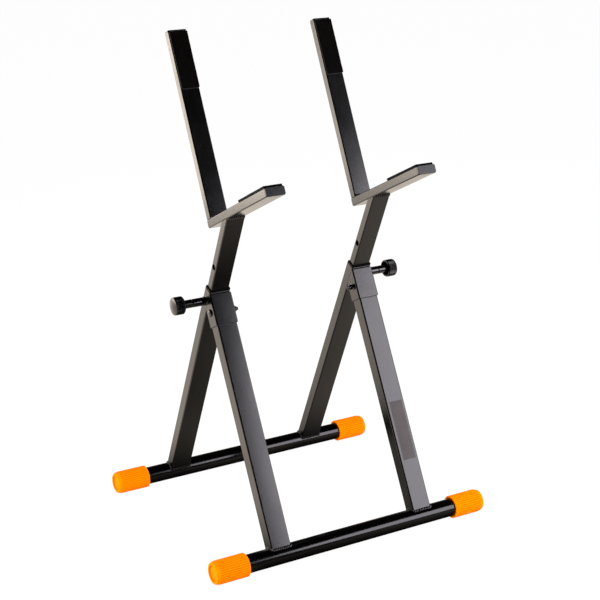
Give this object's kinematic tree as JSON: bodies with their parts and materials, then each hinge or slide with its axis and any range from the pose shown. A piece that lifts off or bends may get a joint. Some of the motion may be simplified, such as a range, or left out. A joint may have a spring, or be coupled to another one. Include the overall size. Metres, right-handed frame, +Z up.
{
  "type": "amp stand",
  "caption": "Folding tubular stand with tilted shelf arms and back arms that slide up and down, held by pull pins.",
  "frame": {"origin": "on the floor, midway between the two base tubes and the two side frames", "axes": "+Z up, -Y the front that the load faces, +X to the right seen from the front"},
  "size_m": [0.544, 0.438, 0.8618],
  "materials": {
    "satin_black_coat": "satin black powder coat on steel tube",
    "gloss_black_coat": "gloss black enamel on steel tube",
    "orange_rubber": "matt orange moulded rubber",
    "black_plastic": "fine-textured black moulded plastic",
    "dark_foam": "closed-cell foam rubber strip",
    "blackened_steel": "black zinc plated steel",
    "bright_steel": "zinc plated steel"
  },
  "bodies": {
    "rear_frame": {"rear_base_tube": "gloss_black_coat", "rear_leg_left": "satin_black_coat", "rear_leg_right": "satin_black_coat", "rear_foot_cap_left": "orange_rubber", "rear_foot_cap_right": "orange_rubber", "rear_weld_beads": "satin_black_coat", "pivot_bracket_left": "satin_black_coat", "pivot_bracket_right": "satin_black_coat", "pivot_bolt_left": "blackened_steel", "pivot_bolt_right": "blackened_steel", "pivot_sleeve_left": "bright_steel", "pivot_sleeve_right": "bright_steel", "pivot_washers": "bright_steel", "pivot_lock_nuts": "blackened_steel", "guide_bush_left": "black_plastic", "guide_bush_right": "black_plastic", "plunger_boss_left": "satin_black_coat", "plunger_boss_right": "satin_black_coat", "plunger_housing_left": "blackened_steel", "plunger_housing_right": "blackened_steel", "plunger_spring_left": "bright_steel", "plunger_spring_right": "bright_steel"},
    "front_frame": {"front_base_tube": "gloss_black_coat", "front_leg_left": "satin_black_coat", "front_leg_right": "satin_black_coat", "front_leg_plug_left": "black_plastic", "front_leg_plug_right": "black_plastic", "front_foot_cap_left": "orange_rubber", "front_foot_cap_right": "orange_rubber", "front_weld_beads": "satin_black_coat"},
    "upper_left": {"post_left": "satin_black_coat", "post_glide_left": "black_plastic", "shelf_arm_left": "satin_black_coat", "shelf_front_plug_left": "black_plastic", "shelf_rear_plug_left": "black_plastic", "shelf_pad_left": "dark_foam", "back_arm_left": "satin_black_coat", "back_arm_plug_left": "black_plastic", "back_pad_left": "dark_foam", "arm_weld_beads_left": "satin_black_coat"},
    "upper_right": {"post_right": "satin_black_coat", "post_glide_right": "black_plastic", "shelf_arm_right": "satin_black_coat", "shelf_front_plug_right": "black_plastic", "shelf_rear_plug_right": "black_plastic", "shelf_pad_right": "dark_foam", "back_arm_right": "satin_black_coat", "back_arm_plug_right": "black_plastic", "back_pad_right": "dark_foam", "arm_weld_beads_right": "satin_black_coat"},
    "plunger_left": {"plunger_knob_left": "black_plastic", "plunger_pin_left": "bright_steel"},
    "plunger_right": {"plunger_knob_right": "black_plastic", "plunger_pin_right": "bright_steel"}
  },
  "joints": [
    {"name": "front_frame_fold", "type": "hinge", "parent": "rear_frame", "child": "front_frame", "pos_m": [0, 0.00341, 0.39706], "axis": [1, 0, 0], "range_deg": [0, 50]},
    {"name": "height_slide_left", "type": "slide", "parent": "rear_frame", "child": "upper_left", "axis": [0, -0.4051, 0.9143], "range_m": [-0.075, 0.075]},
    {"name": "height_slide_right", "type": "slide", "parent": "rear_frame", "child": "upper_right", "axis": [0, -0.4051, 0.9143], "range_m": [-0.075, 0.075]},
    {"name": "plunger_pull_left", "type": "slide", "parent": "rear_frame", "child": "plunger_left", "axis": [-1, 0, 0], "range_m": [0, 0.008], "stiffness_N_per_m": 800, "springref_m": -0.006, "deforming": ["plunger_spring_left"]},
    {"name": "plunger_pull_right", "type": "slide", "parent": "rear_frame", "child": "plunger_right", "axis": [1, 0, 0], "range_m": [0, 0.008], "stiffness_N_per_m": 800, "springref_m": -0.006, "deforming": ["plunger_spring_right"]}
  ]
}
